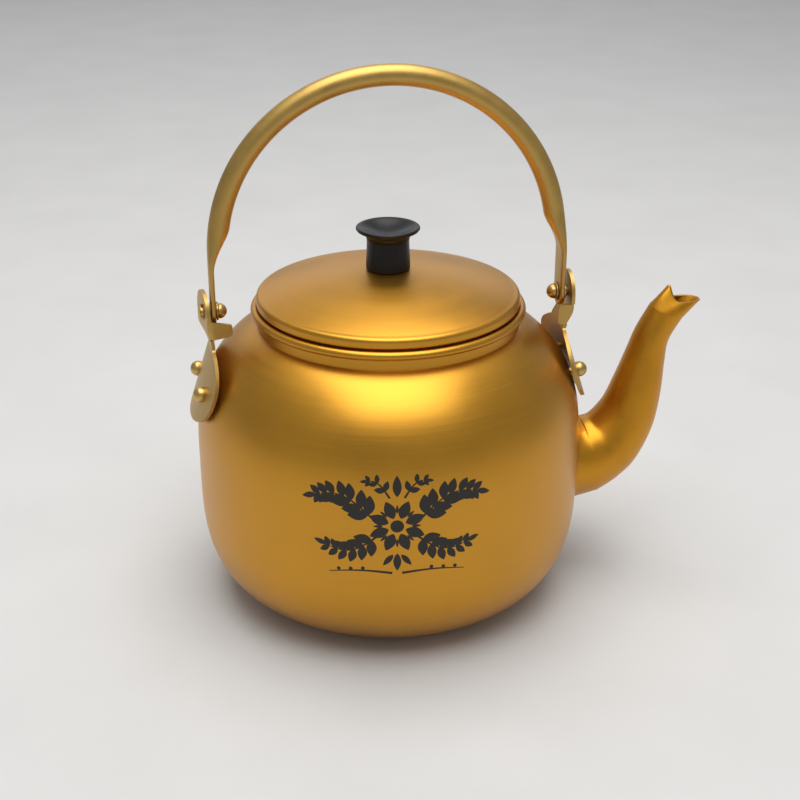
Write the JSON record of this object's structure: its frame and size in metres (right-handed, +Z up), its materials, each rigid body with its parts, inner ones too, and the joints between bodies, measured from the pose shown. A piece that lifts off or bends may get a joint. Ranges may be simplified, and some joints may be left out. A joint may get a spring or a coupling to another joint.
{
  "type": "kettle",
  "caption": "Round spun-metal kettle with a curved beak spout, a swinging bail handle in riveted ears and a lift-off domed lid with a flared knob.",
  "frame": {"origin": "centre of the flat base, on the surface it stands on", "axes": "+Z up along the body's axis, +X towards the spout; the handle's plane at rest is XZ"},
  "size_m": [0.2298, 0.17, 0.2367],
  "materials": {
    "anodised_gold": "satin gold-anodised, spun",
    "anodised_champagne": "satin pale gold-anodised",
    "rivet_champagne": "pale gold-anodised, upset heads",
    "plain_aluminium": "bare",
    "black_phenolic": "moulded, semi-gloss",
    "insert_brass": "turned",
    "screw_steel": "zinc-plated"
  },
  "bodies": {
    "pot": {"body": "anodised_gold", "spout": "anodised_gold", "bracket_back": "anodised_champagne", "bracket_spout": "anodised_champagne", "rivet_back_front": "rivet_champagne", "rivet_back_rear": "rivet_champagne", "rivet_spout_front": "rivet_champagne", "rivet_spout_rear": "rivet_champagne", "pivot_rivet_back": "rivet_champagne", "pivot_rivet_spout": "rivet_champagne", "washer_back": "rivet_champagne", "washer_spout": "rivet_champagne", "spacer_back": "plain_aluminium", "spacer_spout": "plain_aluminium"},
    "bail": {"handle": "anodised_champagne"},
    "cover": {"lid": "anodised_gold", "knob": "black_phenolic", "knob_insert": "insert_brass", "knob_screw": "screw_steel", "knob_washer": "plain_aluminium"}
  },
  "joints": [
    {"name": "handle_swing", "type": "hinge", "parent": "pot", "child": "bail", "pos_m": [0, 0, 0.1345], "axis": [1, 0, 0], "range_deg": [-112, 56]},
    {"name": "lid_lift", "type": "slide", "parent": "pot", "child": "cover", "axis": [0, 0, 1], "range_m": [0, 0.045]}
  ]
}
